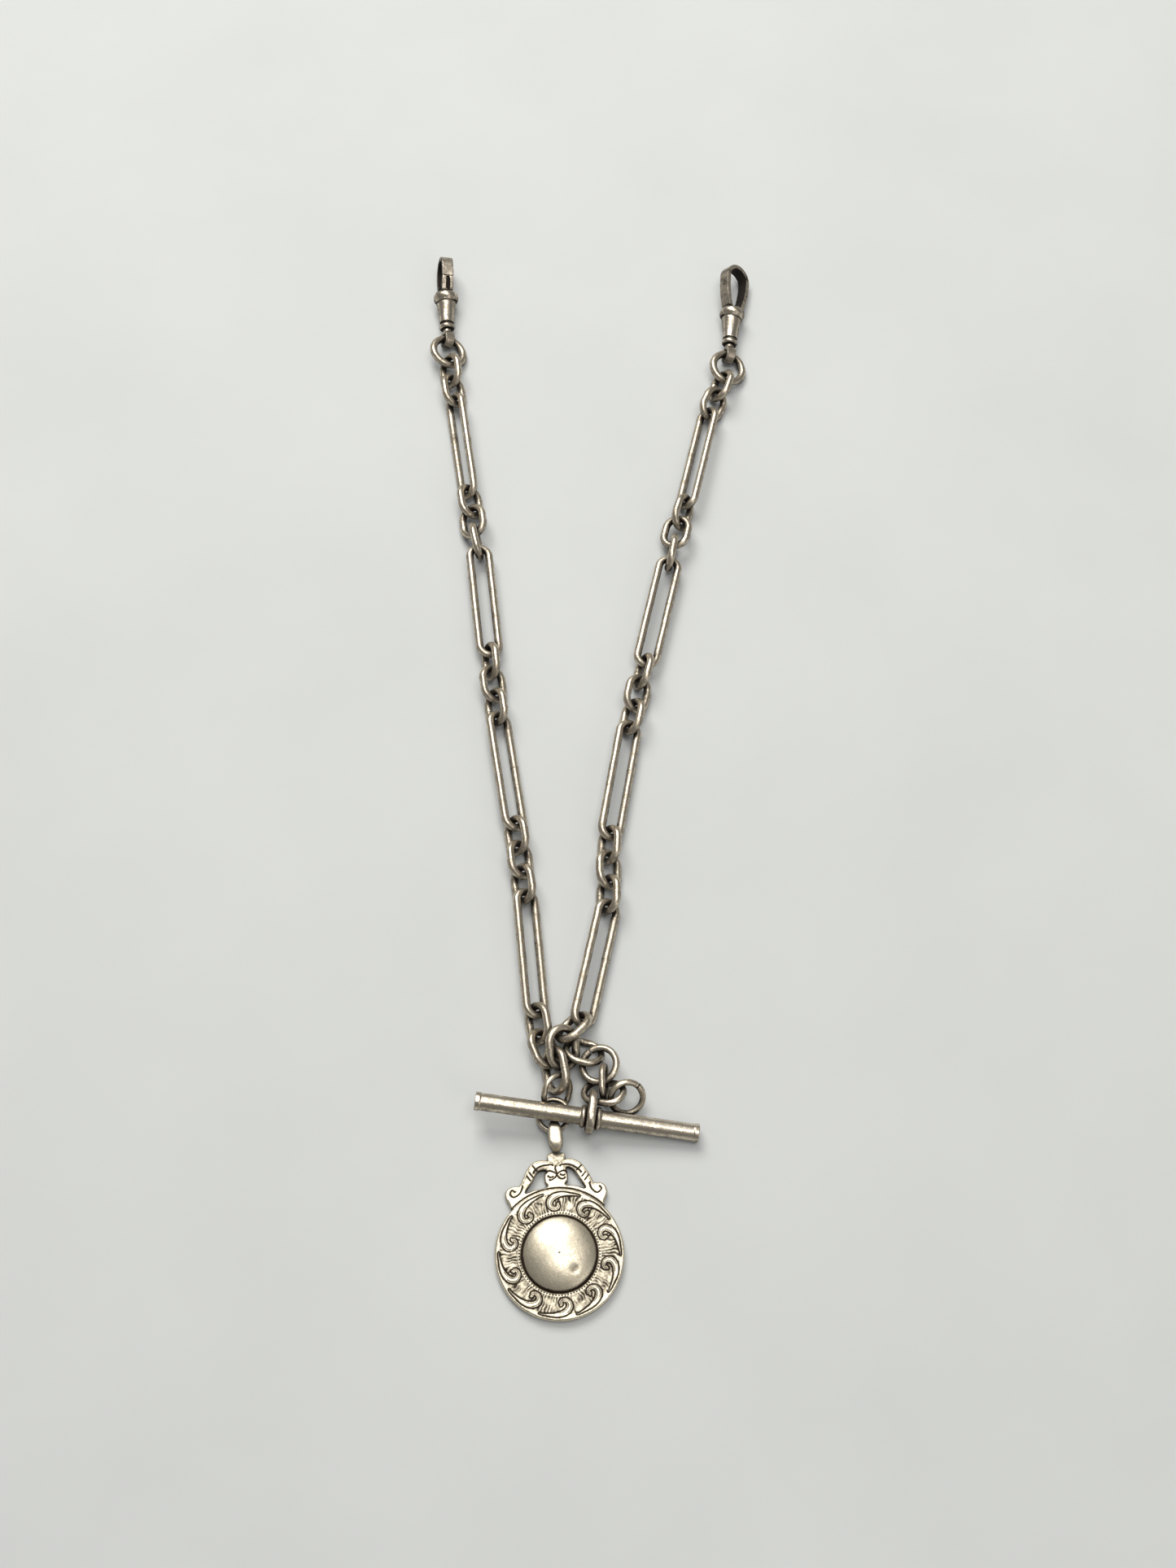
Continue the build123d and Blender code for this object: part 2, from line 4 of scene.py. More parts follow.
import bpy
import numpy as np
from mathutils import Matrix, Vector


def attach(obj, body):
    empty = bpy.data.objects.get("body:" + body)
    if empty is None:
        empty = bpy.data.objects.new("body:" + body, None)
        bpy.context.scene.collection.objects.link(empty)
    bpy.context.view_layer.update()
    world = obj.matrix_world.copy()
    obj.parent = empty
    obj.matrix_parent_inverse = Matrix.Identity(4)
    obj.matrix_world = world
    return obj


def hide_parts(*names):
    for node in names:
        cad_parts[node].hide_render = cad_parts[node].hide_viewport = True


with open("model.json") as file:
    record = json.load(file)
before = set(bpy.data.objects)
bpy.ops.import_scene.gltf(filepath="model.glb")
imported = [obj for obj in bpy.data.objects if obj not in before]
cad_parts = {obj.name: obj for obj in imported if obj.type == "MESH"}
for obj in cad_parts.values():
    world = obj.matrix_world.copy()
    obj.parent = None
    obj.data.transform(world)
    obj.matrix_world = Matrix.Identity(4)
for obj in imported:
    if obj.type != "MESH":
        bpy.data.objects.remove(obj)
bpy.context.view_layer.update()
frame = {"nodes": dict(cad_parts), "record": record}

# A worn silver double pocket watch chain on a pale sheet. Shapes are worked out in millimetres, in
# the CAD frame, and written to the meshes in metres.
MM = 0.001
STEP = 0.12  # spacing of a wire's rings of vertices
SIDES = 36  # vertices round a wire
VOXEL = 0.07  # grain of the solid pieces' meshes

nodes = frame["nodes"]
bodies = frame["record"]["behaviour"]["bodies"]
body_of_node = {node: body for body, members in bodies.items() for node in members}

# ---- Materials ----------------------------------------------------------------------------------

MIX_A, MIX_B, MIX_RESULT = 6, 7, 2  # the colour sockets of a Mix node


class Nodes:
    """A few short ways of adding and joining shader nodes."""

    def __init__(self, name):
        self.material = bpy.data.materials.new(name)
        self.material.use_nodes = True
        self.tree = self.material.node_tree
        self.shader = self.tree.nodes["Principled BSDF"]

    def add(self, kind, **settings):
        node = self.tree.nodes.new(kind)
        for key, value in settings.items():
            setattr(node, key, value)
        return node

    def join(self, output, socket):
        self.tree.links.new(output, socket)

    def set_or_join(self, socket, value):
        if isinstance(value, (int, float, tuple)):
            socket.default_value = value
        else:
            self.join(value, socket)

    def math(self, operation, a, b=0.0, clamp=False):
        node = self.add("ShaderNodeMath", operation=operation, use_clamp=clamp)
        self.set_or_join(node.inputs[0], a)
        self.set_or_join(node.inputs[1], b)
        return node.outputs[0]

    def mix(self, factor, a, b):
        node = self.add("ShaderNodeMix", data_type="RGBA")
        self.set_or_join(node.inputs[0], factor)
        self.set_or_join(node.inputs[MIX_A], a)
        self.set_or_join(node.inputs[MIX_B], b)
        return node.outputs[MIX_RESULT]

    def remap(self, value, low, high, to_low=0.0, to_high=1.0):
        """The value moved from one range to another, and held inside it."""
        node = self.add("ShaderNodeMapRange", clamp=True)
        self.join(value, node.inputs[0])
        for i, number in enumerate((low, high, to_low, to_high)):
            node.inputs[i + 1].default_value = number
        return node.outputs[0]

    def noise(self, where, scale, detail=4.0, roughness=0.55):
        node = self.add("ShaderNodeTexNoise")
        self.join(where, node.inputs["Vector"])
        node.inputs["Scale"].default_value = scale
        node.inputs["Detail"].default_value = detail
        node.inputs["Roughness"].default_value = roughness
        return node.outputs["Fac"]

    def places(self, stretch=(1000.0, 1000.0, 1000.0), turn=0.0):
        """The object's own coordinates, in millimetres by default, stretched or turned."""
        coordinates = self.add("ShaderNodeTexCoord")
        mapping = self.add("ShaderNodeMapping")
        mapping.inputs["Scale"].default_value = stretch
        mapping.inputs["Rotation"].default_value = (turn, 0.6 * turn, turn)
        self.join(coordinates.outputs["Object"], mapping.inputs["Vector"])
        return mapping.outputs["Vector"]


CREVICE_SHADE_REACH = 1.6  # how near other metal has to be for painted shade to darken a place, in millimetres
DIRT_AND_SHADE_ROUGHNESS = 0.34  # how much duller the dirt and painted shade are than the metal
DIRT_AND_SHADE_GLOSS = 0.3  # the shader's specular level, which only shows where dirt and painted shade dull the metal
BUMP_STRENGTH = 0.55
BUMP_DEPTH = 0.014  # in millimetres


def silver(name, light, middle, dark, roughness, tarnish, crevice_shade):
    """Old silver: pale or brown-grey at random, darker with blotches, grime and painted shade on
    the sides, and near black with painted shade in the crevices.

    tarnish is how dark the blotches are, and the last argument how dark the painted shade makes
    the places close to other metal.
    """
    n = Nodes(name)
    place = n.places()
    blotches = n.noise(place, 0.45, 6.0, 0.62)
    grain = n.noise(place, 2.6, 8.0, 0.65)
    fine = n.noise(place, 11.0, 4.0, 0.6)
    scratches = n.noise(n.places((700.0, 9000.0, 9000.0), 0.7), 1.0, 3.0, 0.7)
    marks = n.noise(n.places((8000.0, 900.0, 8000.0), -0.5), 1.0, 3.0, 0.7)
    # Painted shade: ambient occlusion darkens the places near other metal.
    shade = n.add("ShaderNodeAmbientOcclusion", samples=8)
    shade.inputs["Distance"].default_value = CREVICE_SHADE_REACH * MM
    occlusion_shade = n.remap(shade.outputs["AO"], 0.25, 0.95, 1.0, 0.0)
    grime_and_shade = n.add("ShaderNodeAttribute", attribute_name="grime_and_shade").outputs["Fac"]
    dirt_and_shade = n.math("ADD", n.math("MULTIPLY", occlusion_shade, crevice_shade), grime_and_shade)
    dirt_and_shade = n.math("ADD", dirt_and_shade, n.remap(blotches, 0.42, 0.68, -0.10, tarnish))
    dirt_and_shade = n.math("ADD", dirt_and_shade, n.remap(grain, 0.35, 0.7, -0.10, 0.22), clamp=True)
    colour = n.mix(n.remap(grain, 0.3, 0.7), light, middle)
    colour = n.mix(dirt_and_shade, colour, dark)
    n.join(colour, n.shader.inputs["Base Color"])
    n.join(n.remap(dirt_and_shade, 0.25, 1.0, 1.0, 0.35), n.shader.inputs["Metallic"])
    rough = n.remap(grain, 0.25, 0.75, roughness - 0.08, roughness + 0.12)
    rough = n.math("ADD", rough, n.math("MULTIPLY", dirt_and_shade, DIRT_AND_SHADE_ROUGHNESS), clamp=True)
    n.join(rough, n.shader.inputs["Roughness"])
    height = n.math("ADD", n.math("MULTIPLY", scratches, 0.5), n.math("MULTIPLY", marks, 0.5))
    height = n.math("ADD", height, n.math("MULTIPLY", fine, 0.9))
    height = n.math("ADD", height, n.math("MULTIPLY", grain, 2.2))
    n.shader.inputs["Specular IOR Level"].default_value = DIRT_AND_SHADE_GLOSS
    bump = n.add("ShaderNodeBump")
    bump.inputs["Strength"].default_value = BUMP_STRENGTH
    bump.inputs["Distance"].default_value = BUMP_DEPTH * MM
    n.join(height, bump.inputs["Height"])
    n.join(bump.outputs["Normal"], n.shader.inputs["Normal"])
    return n.material


LINK = silver(
    "link_silver",
    light=(0.88, 0.79, 0.64, 1),
    middle=(0.56, 0.47, 0.35, 1),
    dark=(0.024, 0.017, 0.011, 1),
    roughness=0.29,
    tarnish=0.42,
    crevice_shade=1.6,
)
CLIP = silver(
    "clip_silver",
    light=(0.86, 0.77, 0.63, 1),
    middle=(0.52, 0.44, 0.34, 1),
    dark=(0.018, 0.014, 0.010, 1),
    roughness=0.28,
    tarnish=0.50,
    crevice_shade=1.5,
)
BAR = silver(
    "bar_silver",
    light=(0.86, 0.78, 0.64, 1),
    middle=(0.56, 0.48, 0.37, 1),
    dark=(0.030, 0.021, 0.014, 1),
    roughness=0.28,
    tarnish=0.34,
    crevice_shade=1.5,
)
MEDAL = silver(
    "medal_silver",
    light=(0.93, 0.85, 0.68, 1),
    middle=(0.76, 0.67, 0.50, 1),
    dark=(0.035, 0.022, 0.011, 1),
    roughness=0.36,
    tarnish=0.14,
    crevice_shade=1.2,
)
STEEL = silver(
    "steel",
    light=(0.40, 0.38, 0.36, 1),
    middle=(0.25, 0.23, 0.21, 1),
    dark=(0.03, 0.025, 0.02, 1),
    roughness=0.36,
    tarnish=0.40,
    crevice_shade=1.0,
)

# ---- Shapes -------------------------------------------------------------------------------------


def vertices_of(node):
    """The node's CAD vertices in millimetres."""
    mesh = nodes[node].data
    flat = np.empty(3 * len(mesh.vertices))
    mesh.vertices.foreach_get("co", flat)
    return flat.reshape(-1, 3) / MM


def waves(seed, wavelength, count=14):
    """A smooth random field made of sine waves, about -1 to 1."""
    dice = np.random.default_rng(seed)
    turns = dice.normal(size=(count, 3))
    lengths = np.linalg.norm(turns, axis=1)
    turns *= (2 * pi / wavelength * dice.uniform(0.7, 1.5, count) / lengths)[:, None]
    phases = dice.uniform(0, 2 * pi, count)
    return lambda points: np.sin(points @ turns.T + phases).sum(axis=1) / sqrt(count)


def signed_power(values, power):
    """The values' sizes raised to a power, with their signs kept."""
    return np.sign(values) * np.abs(values) ** power


def groove(gap, width, depth):
    """How deep an engraved line is at a distance from its middle."""
    return depth * np.exp(-((gap / width) ** 2) * 1.6)


def painted_side_shade(up):
    """Painted shade on a place whose normal points up by so much: the sides and undersides darker,
    the tops lighter.
    """
    return 0.72 * (1 - np.clip(up, 0, 1)) ** 1.5 - 0.10


def make(node, points, faces, material, grime_and_shade):
    """A smooth mesh from millimetre points that stands for a CAD node and rides on its body."""
    mesh = bpy.data.meshes.new(node)
    mesh.from_pydata([tuple(p) for p in np.asarray(points) * MM], [], [tuple(f) for f in faces])
    mesh.polygons.foreach_set("use_smooth", [True] * len(mesh.polygons))
    layer = mesh.attributes.new("grime_and_shade", "FLOAT", "POINT")
    layer.data.foreach_set("value", np.asarray(grime_and_shade, float))
    mesh.materials.append(material)
    mesh.update()
    shape = bpy.data.objects.new(node + "_worn", mesh)
    bpy.context.scene.collection.objects.link(shape)
    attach(shape, body_of_node[node])
    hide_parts(node)


def ring_faces(rows, columns, closed=True):
    """Quads of a grid whose columns go round, and whose rows go round too if closed."""
    i, j = np.meshgrid(np.arange(rows if closed else rows - 1), np.arange(columns), indexing="ij")
    i, j = i.ravel(), j.ravel()
    k, m = (i + 1) % rows, (j + 1) % columns
    return np.stack([i * columns + j, i * columns + m, k * columns + m, k * columns + j], axis=1)


def axes_of(points):
    """A loop's middle, its long, cross and normal directions, and its size along each."""
    _, _, rows = np.linalg.svd(points - points.mean(axis=0), full_matrices=False)
    spans = np.ptp(points @ rows.T, axis=0)
    order = np.argsort(-spans)
    rows, spans = rows[order], spans[order]
    along = points @ rows.T
    middle = ((along.max(axis=0) + along.min(axis=0)) / 2) @ rows
    if rows[2][2] < 0:  # the normal points up
        rows[2] = -rows[2]
    rows[1] = np.cross(rows[2], rows[0])
    return middle, rows, spans


def stadium(length, width, thickness):
    """Arc positions, points and outward directions round a loop's middle line."""
    bow = (width - thickness) / 2
    half = max((length - width) / 2, 0.0)
    total = 2 * pi * bow + 4 * half
    count = int(total / STEP)
    s = np.arange(count) * total / count
    quarter = pi * bow / 2
    u = (s + quarter) % total  # counted from the start of the right-hand bow
    x, y, ox, oy = (np.zeros(count) for _ in range(4))
    for sign, start in ((1, 0.0), (-1, total / 2)):
        v = u - start
        bend = (v >= 0) & (v < 2 * quarter)
        angle = v[bend] / bow - pi / 2
        x[bend] = sign * (half + bow * np.cos(angle))
        y[bend] = sign * bow * np.sin(angle)
        ox[bend] = sign * np.cos(angle)
        oy[bend] = sign * np.sin(angle)
        side = (v >= 2 * quarter) & (v < total / 2)
        x[side] = sign * (half - (v[side] - 2 * quarter))
        y[side] = sign * bow
        oy[side] = sign
    return s, total, np.stack([x, y], 1), np.stack([ox, oy], 1), half, bow


ALONG_WIRE = 0.8  # a face of a slit looks along the wire at least this squarely


def slit_angle(node, middle, rows):
    """Where a ring's slit is: the middle of the flat faces that look along the wire."""
    cheeks = []
    for face in nodes[node].data.polygons:
        spot = np.array(face.center) / MM - middle
        flat = spot - rows[2] * (spot @ rows[2])
        along = np.cross(rows[2], flat / np.linalg.norm(flat))
        if abs(np.array(face.normal) @ along) > ALONG_WIRE:
            cheeks.append((face.area, flat @ rows[0], flat @ rows[1]))
    area, x, y = np.array(cheeks).T
    return np.arctan2(y @ area, x @ area)


# Wear on a wire loop, in millimetres: its solder seam's swelling and the sunk line in its middle,
# each with its half width, how far a bow is rubbed away inside, and the waviness of its surface.
SEAM_SWELL = (0.035, 0.45)
SEAM_LINE = (0.045, 0.07)
BOW_RUB = 0.07
SURFACE_WAVES = ((0.016, 5.0), (0.006, 1.6), (0.0015, 0.6))  # height and wavelength
SURFACE_SINK = 0.02
SURFACE_TOP = 0.004
# Painted shade on a loop's inner side and inside its bows; then the darkness of its solder seam
# and of a split ring's cut ends.
INNER_SHADE = 0.42
BOW_INNER_SHADE = 0.25
SEAM_GRIME = (0.5, 0.08)
LIP_GRIME = 0.8


def bell(distance, width):
    """1 at no distance, falling away smoothly over the width."""
    return np.exp(-((distance / width) ** 2))


def worn_loop(node, material, seed, thickness=None, slit=False, narrow=0.0):
    """A bent wire loop with rubbed bows, a solder seam, dents and uneven thickness.

    thickness is a flat band's, slit opens the loop where the CAD ring is cut, and narrow tapers a
    band's breadth towards its two bows.
    """
    middle, rows, spans = axes_of(vertices_of(node))
    if narrow and rows[0][1] > 0:
        rows[:2] = -rows[:2]
    breadth = spans[2]
    wire = thickness or breadth
    s, total, line, outward, half, bow = stadium(spans[0], spans[1], wire)
    dice = np.random.default_rng(seed)
    phi = np.arange(SIDES) * 2 * pi / SIDES
    power = 1.0 if thickness is None else 0.6  # a band's section is squarer, most of all inside
    outer_power = min(1.0, 1.5 * power)
    c = signed_power(np.cos(phi), np.where(np.cos(phi) > 0, outer_power, power))
    w = signed_power(np.sin(phi), power)
    flat = np.stack([outward[:, :1] * np.ones(SIDES), outward[:, 1:] * np.ones(SIDES)], 2)
    seam_at = total * (0.5 * dice.integers(2) + dice.uniform(0.20, 0.30))
    distance = np.abs((s - seam_at + total / 2) % total - total / 2)
    swell = SEAM_SWELL[0] * bell(distance, SEAM_SWELL[1])
    swell -= SEAM_LINE[0] * bell(distance, SEAM_LINE[1])
    near_bow = bell(np.abs(line[:, 0]) - half - bow, 0.45 * bow) * (np.abs(line[:, 1]) < bow)
    inner = np.clip(-np.cos(phi), 0, 1)
    rub = BOW_RUB * near_bow[:, None] * inner[None, :] ** 2
    reach_out = wire / 2 * c[None, :] + (swell[:, None] * c[None, :]) + rub
    toward_medal = line[:, 0] / (half + bow)
    taper = narrow * np.clip(-toward_medal, 0, 1) ** 2
    taper += narrow * np.clip(2 * toward_medal - 1, 0, 1)
    breadths = breadth / 2 * (1 - taper)
    reach_up = (breadths + swell)[:, None] * w[None, :]
    x = line[:, :1] + flat[:, :, 0] * reach_out
    y = line[:, 1:] + flat[:, :, 1] * reach_out
    points = middle + x[..., None] * rows[0] + y[..., None] * rows[1]
    points = (points + reach_up[..., None] * rows[2]).reshape(-1, 3)
    facing = (flat @ rows[:2]) * c[None, :, None]
    facing = (facing + w[None, :, None] * rows[2]).reshape(-1, 3)
    facing /= np.linalg.norm(facing, axis=1)[:, None]
    rough = np.zeros(len(points))
    for i, (height, wavelength) in enumerate(SURFACE_WAVES):
        rough += height * waves(seed + 1 + i, wavelength)(points)
    points = points + facing * np.minimum(rough - SURFACE_SINK, SURFACE_TOP)[:, None]
    # Painted shade inside the loop and its bows, the seam's dark line, and painted shade on the
    # sides that leaves the tops lighter.
    grime_and_shade = INNER_SHADE * inner[None, :] ** 1.5 + BOW_INNER_SHADE * near_bow[:, None] * inner[None, :]
    grime_and_shade = grime_and_shade + SEAM_GRIME[0] * bell(distance, SEAM_GRIME[1])[:, None]
    grime_and_shade = grime_and_shade + painted_side_shade(facing[:, 2]).reshape(len(s), SIDES)
    faces = ring_faces(len(s), SIDES)
    if slit:
        angle = slit_angle(node, middle, rows)
        where = np.arctan2(line[:, 1], line[:, 0])
        off = np.abs((where - angle + pi) % (2 * pi) - pi)
        start = int(off.argmin())
        order = np.r_[np.arange(start, len(s)), np.arange(start)][1:]
        points = points.reshape(len(s), SIDES, 3)[order]
        lips = [points[:1].mean(axis=1), points[-1:].mean(axis=1)]
        count = len(points)
        grid = points.reshape(-1, 3)
        last = (count - 1) * SIDES
        caps = [(len(grid), (j + 1) % SIDES, j) for j in range(SIDES)]
        caps += [(len(grid) + 1, last + j, last + (j + 1) % SIDES) for j in range(SIDES)]
        points = np.vstack([grid] + lips)
        faces = [tuple(f) for f in ring_faces(count, SIDES, closed=False)] + caps
        grime_and_shade = np.r_[grime_and_shade[order].ravel(), LIP_GRIME, LIP_GRIME]
    make(node, points, faces, material, np.ravel(grime_and_shade))


WELD_DISTANCE = 0.0005  # joins the CAD faces' meshes along their seams, in millimetres


def worn_solid(node, material, seed, voxel=VOXEL, rounds=6, depth=0.02, detail=None):
    """The CAD solid with its edges rubbed round and its faces slightly uneven.

    rounds is how often it is smoothed and depth how uneven it is. detail gives a further cut along
    the normal, in millimetres, and a value of grime and painted shade for each point.
    """
    copy = bpy.data.objects.new("copy", nodes[node].data.copy())
    bpy.context.scene.collection.objects.link(copy)
    copy.scale = (1 / MM,) * 3
    bpy.context.view_layer.update()
    copy.data.transform(copy.matrix_world)
    copy.scale = (1, 1, 1)
    weld = copy.modifiers.new("weld", "WELD")
    weld.merge_threshold = WELD_DISTANCE
    grain = copy.modifiers.new("grain", "REMESH")
    grain.mode = "VOXEL"
    grain.voxel_size = voxel
    soften = copy.modifiers.new("soften", "SMOOTH")
    soften.factor = 0.5
    soften.iterations = rounds
    bpy.context.view_layer.update()
    done = copy.evaluated_get(bpy.context.evaluated_depsgraph_get()).to_mesh()
    flat = np.empty(3 * len(done.vertices))
    done.vertices.foreach_get("co", flat)
    points = flat.reshape(-1, 3)
    normals = np.empty(3 * len(done.vertices))
    done.vertex_normals.foreach_get("vector", normals)
    normals = normals.reshape(-1, 3)
    faces = [tuple(f.vertices) for f in done.polygons]
    rough = waves(seed + 1, 3.5)(points)
    rough = rough + 0.5 * waves(seed + 2, 1.2)(points)
    rough = rough + 0.2 * waves(seed + 3, 0.45)(points)
    cut, grime_and_shade = detail(points, normals) if detail else (0.0, 0.0)
    points = points + normals * (depth * np.minimum(rough - 0.6, 0.2) - cut)[:, None]
    bpy.data.objects.remove(copy)
    # Painted shade on the sides leaves the tops lighter.
    make(node, points, faces, material, grime_and_shade + painted_side_shade(normals[:, 2]))


# Along a clip's axis, from the foot of its barrel: the grooves either side of the bead, the one
# under the collar and the one over it, each with its half width and depth.
CLIP_GROOVES = ((0.10, 0.16, 0.06), (1.38, 0.20, 0.10), (6.85, 0.24, 0.16), (9.15, 0.30, 0.08))
FOOT_END = 0.4
BARREL = (1.6, 6.4)
HOOK_START = 9.2
HOOK_CLEAR = 9.8  # only the hook is further along than this
BOW_INSET = 3.4  # from the hook's tip to the middle of its bow
SLOT_START, SLOT_END = 9.3, 12.0  # the gate's thumb slot, along the axis
SLOT_HALF = 0.37
SLOT_GRIME = 0.7
# Painted shade that makes the hook's inner face near black; then the hook's grime and blotches.
HOOK_INSIDE_SHADE = 0.95
HOOK_GRIME = 0.12
HOOK_BLOTCH = 0.22


def step(value, width):
    """A smooth step from 0 to 1 where the value passes 0."""
    return 1 / (1 + np.exp(-value / width))


def clip_detail(side, is_gate):
    """Dark grooves round a clip's barrel, and painted shade that makes its hook's inner face near
    black.
    """
    body = vertices_of(side + "_clip_body")
    eye = vertices_of(side + "_clip_swivel_eye").mean(axis=0)
    axis = body.mean(axis=0) - eye
    axis /= np.linalg.norm(axis)
    for _ in range(3):  # each round brings the axis nearer to the barrel's own
        along = (body - eye) @ axis
        foot = along.min()
        low = body[along < foot + FOOT_END].mean(axis=0)
        high = body[(along > foot + BARREL[0]) & (along < foot + BARREL[1])]
        high = (high.max(axis=0) + high.min(axis=0)) / 2
        axis = (high - low) / np.linalg.norm(high - low)
    along = (body - low) @ axis
    start, length = along.min(), np.ptp(along)
    hook_points = body[along - start > HOOK_CLEAR]
    _, _, ways = np.linalg.svd(hook_points - hook_points.mean(axis=0), full_matrices=False)
    across = ways[2]

    def detail(points, normals):
        t = (points - low) @ axis - start
        centre = low + (np.minimum(t, length - BOW_INSET) + start)[:, None] * axis
        away = points - centre
        away /= np.linalg.norm(away, axis=1)[:, None] + 1e-9
        facing = (normals * away).sum(axis=1)
        blotch = 0.5 + 0.5 * waves(41, 1.8)(points)
        # Painted shade on the hook's inner face, plus the hook's grime and blotches.
        grime_and_shade = HOOK_INSIDE_SHADE * step(-0.25 - facing, 0.08) + HOOK_GRIME + HOOK_BLOTCH * blotch
        grime_and_shade = grime_and_shade * step(t - HOOK_START, 0.12)
        slot = (np.abs((points - low) @ across) < SLOT_HALF) & (t > SLOT_START) & (t < SLOT_END)
        grime_and_shade = grime_and_shade + SLOT_GRIME * slot * is_gate
        cut = np.zeros(len(t))
        for place, width, depth in CLIP_GROOVES:
            cut += groove(t - place, width, depth)
        return cut, grime_and_shade + 5.0 * cut

    return detail


# ---- Links and rings ----------------------------------------------------------------------------

BANDS = {"t_bar_ring": (BAR, 1.3, 0.0), "medal_bail": (MEDAL, 0.95, 0.45)}
SLIT_RINGS = ("drop_split_ring", "spare_split_ring")

for place, node in enumerate(sorted(nodes)):
    seed = 10 * place
    if node in BANDS:
        material, thickness, narrow = BANDS[node]
        worn_loop(node, material, seed, thickness=thickness, narrow=narrow)
    elif node == "t_bar":
        worn_solid(node, BAR, seed, depth=0.010)
    elif node.endswith(("_clip_body", "_clip_gate")):
        detail = clip_detail(node.split("_")[0], node.endswith("gate"))
        worn_solid(node, CLIP, seed, rounds=5, depth=0.015, detail=detail)
    elif node.endswith("_clip_swivel_eye"):
        worn_solid(node, CLIP, seed, rounds=5, depth=0.015)
    elif "_clip_" in node:
        worn_solid(node, STEEL, seed, voxel=VOXEL / 2, rounds=2, depth=0.015)
    elif not node.startswith("medal_"):
        worn_loop(node, LINK, seed, slit=node in SLIT_RINGS)

# ---- Medal --------------------------------------------------------------------------------------

# All the medal's places are measured from the middle of its disc. The crest's outline runs from
# where it leaves the disc on the right, over both arms and back down.
CREST = [
    (6.6, 6.9), (8.0, 7.6), (8.5, 8.6), (8.5, 9.6), (8.9, 10.4), (9.1, 11.4), (8.6, 12.5),
    (7.6, 12.9), (6.7, 12.9), (6.2, 13.9), (5.3, 15.5), (4.0, 16.9), (2.3, 17.5), (0.8, 17.1),
    (-0.3, 16.3), (-1.2, 17.0), (-2.7, 17.3), (-4.0, 17.1), (-5.1, 16.4), (-6.1, 14.8),
    (-7.0, 12.8), (-7.9, 12.6), (-9.0, 12.3), (-9.8, 11.5), (-9.8, 10.4), (-9.2, 9.5),
    (-8.8, 8.5), (-8.1, 7.7), (-6.6, 7.0),
]  # fmt: skip
WINDOWS = [
    [(-2.2, 15.3), (-3.6, 15.1), (-4.6, 13.6), (-6.0, 11.4),
     (-4.6, 11.7), (-2.1, 12.3), (-2.45, 13.2), (-2.5, 14.3)],
    [(1.7, 15.8), (2.8, 15.4), (3.9, 13.9), (5.0, 12.0),
     (3.6, 12.4), (1.5, 12.7), (1.85, 13.5), (1.85, 14.6)],
]  # fmt: skip
# Short straight cuts across the crest's arms.
CROSS_CUTS = [
    ((-4.7, 16.3), (-3.9, 15.3)), ((-5.3, 15.0), (-4.6, 14.1)), ((-5.8, 14.4), (-5.1, 13.5)),
    ((4.5, 16.2), (3.6, 15.3)), ((5.2, 14.9), (4.5, 14.1)), ((5.7, 14.3), (5.0, 13.4)),
]  # fmt: skip
# Curved cuts: the crossed leaves and hooks of the middle motif, the arms' inner lines, the curls.
CURVED_CUTS = [
    [(-0.3, 16.3), (-0.45, 15.6), (-0.15, 14.6), (-0.6, 13.9), (-1.5, 13.6)],
    [(-0.15, 14.5), (-0.8, 15.0), (-1.6, 15.2), (-2.1, 14.8)],
    [(-0.1, 14.5), (0.6, 15.1), (1.3, 15.2), (1.6, 14.8)],
    [(-0.1, 14.5), (0.3, 13.9), (0.9, 13.7), (1.3, 14.0)],
    [(-1.8, 14.3), (-1.4, 14.0), (-0.9, 14.15)],
    [(0.5, 14.6), (0.9, 14.35), (1.3, 14.5)],
    [(-0.9, 16.2), (-2.2, 16.3), (-3.6, 15.9), (-4.4, 14.9)],
    [(0.5, 16.1), (1.8, 16.4), (3.2, 15.9), (4.3, 14.8)],
    [(-6.6, 12.5), (-7.1, 11.2), (-8.2, 10.5), (-8.9, 11.1), (-8.5, 11.8), (-7.9, 11.5)],
    [(6.0, 13.0), (6.2, 11.8), (7.2, 11.0), (8.0, 11.6), (7.7, 12.2)],
]
DISC_TOP = 1.8
BOSS = 6.75
TURN = radians(1.7)
GRAIN = 0.075  # spacing of the vertices on the medal's face


def smooth_outline(corners, per_side=14):
    """A closed curve through the corners, as many short steps."""
    ring = np.array(corners, float)
    t = np.linspace(0, 1, per_side, endpoint=False)[:, None]
    parts = []
    for i in range(len(ring)):
        a, b, c, d = (ring[(i + k) % len(ring)] for k in (-1, 0, 1, 2))
        squared = 2 * a - 5 * b + 4 * c - d
        cubed = 3 * b - a - 3 * c + d
        parts.append(0.5 * (2 * b + (c - a) * t + squared * t**2 + cubed * t**3))
    return np.vstack(parts)


def smooth_line(corners, per_side=6):
    """The same curve from the first corner to the last, left open."""
    return smooth_outline(corners, per_side)[: per_side * (len(corners) - 1) + 1]


def nearest(points, line, closed=True):
    """Each point's distance to a closed or open line of steps, and the nearest place on it."""
    a = line if closed else line[:-1]
    b = np.roll(line, -1, 0) if closed else line[1:]
    best = np.full(len(points), np.inf)
    spot = np.zeros((len(points), 2))
    for p, q in zip(a, b):
        way = q - p
        t = np.clip((points - p) @ way / (way @ way), 0, 1)
        foot = p + t[:, None] * way
        gap = np.hypot(*(points - foot).T)
        nearer = gap < best
        best[nearer] = gap[nearer]
        spot[nearer] = foot[nearer]
    return best, spot


